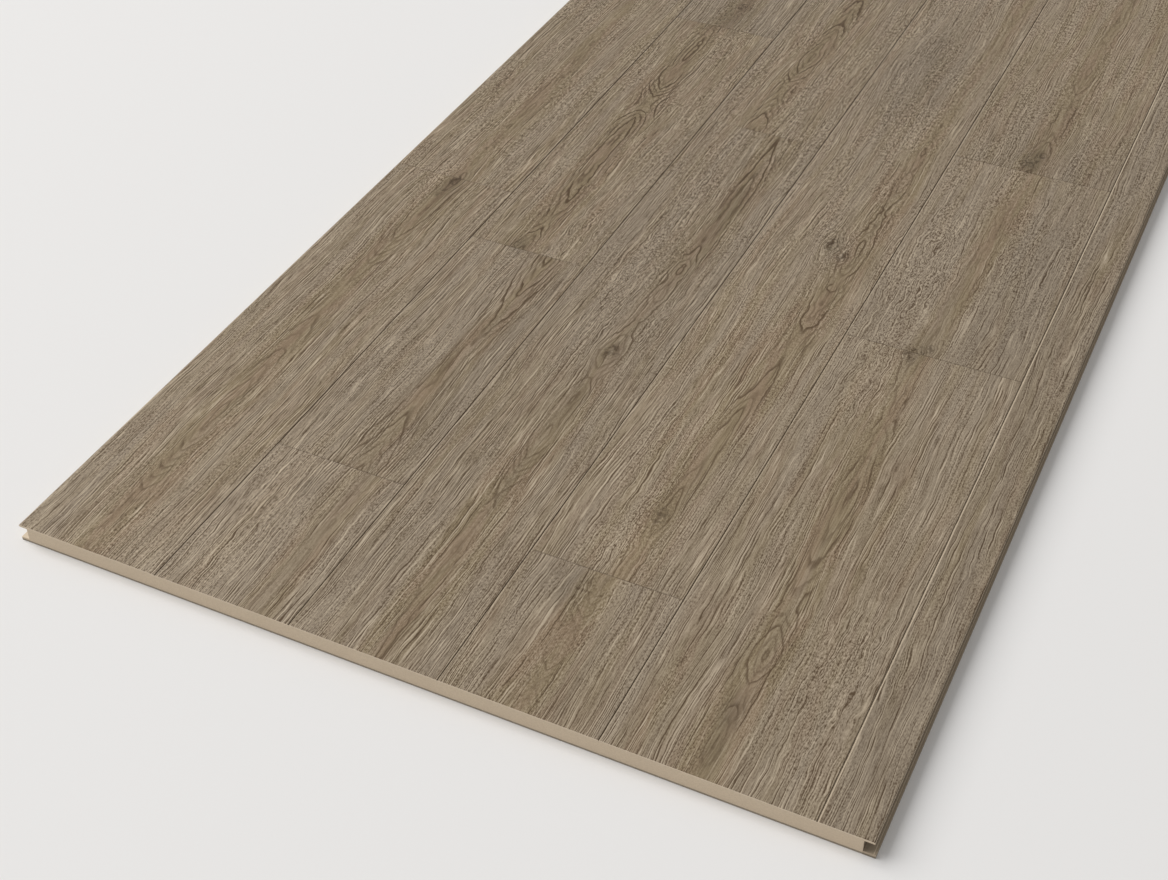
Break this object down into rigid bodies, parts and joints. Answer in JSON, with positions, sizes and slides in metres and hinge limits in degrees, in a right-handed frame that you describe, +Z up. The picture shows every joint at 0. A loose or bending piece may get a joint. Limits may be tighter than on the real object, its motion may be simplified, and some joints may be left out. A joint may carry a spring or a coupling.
{
  "type": "laminate floor plank",
  "caption": "Wide flat laminate floor plank with an oak strip pattern, a pale fibreboard core and a joint groove along both long edges.",
  "frame": {"origin": "on the underside, at the middle of the plank's overall width and length", "axes": "+Z up out of the printed face, +Y along the plank away from its front end, +X across it towards the edge whose lower lip stands out"},
  "size_m": [0.401, 1.285, 0.009],
  "materials": {
    "backing": "thin grey-brown balancing sheet, matt",
    "core": "pale beige high-density fibreboard, sawn and milled, matt",
    "wear_layer": "grey-brown oak print under a matt surface pressed with fine pores and strip lines"
  },
  "bodies": {
    "root": {"backing_layer": "backing", "fibreboard_core": "core", "wear_layer": "wear_layer"}
  },
  "joints": []
}
